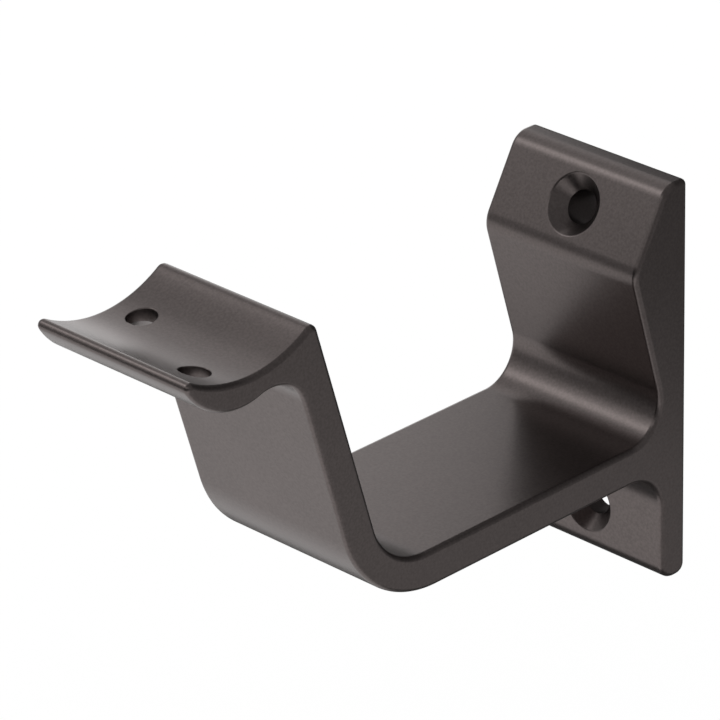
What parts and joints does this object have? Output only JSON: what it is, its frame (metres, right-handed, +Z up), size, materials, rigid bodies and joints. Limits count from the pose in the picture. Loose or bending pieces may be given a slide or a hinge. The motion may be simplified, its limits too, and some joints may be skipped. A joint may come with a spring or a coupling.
{
  "type": "handrail bracket",
  "caption": "Extruded wall bracket that carries a round handrail in a shallow saddle, with countersunk wall screw holes and staggered rail screw holes.",
  "frame": {"origin": "on the wall face, at the middle of the width and level with the underside of the arm", "axes": "+Y into the wall, so the bracket reaches out along -Y; +Z up; X along the rail and the extruded profile"},
  "size_m": [0.032, 0.1043, 0.0717],
  "materials": {
    "anodised_metal": "satin dark bronze anodised, fine matt grain"
  },
  "bodies": {
    "root": {"bracket": "anodised_metal"}
  },
  "joints": []
}
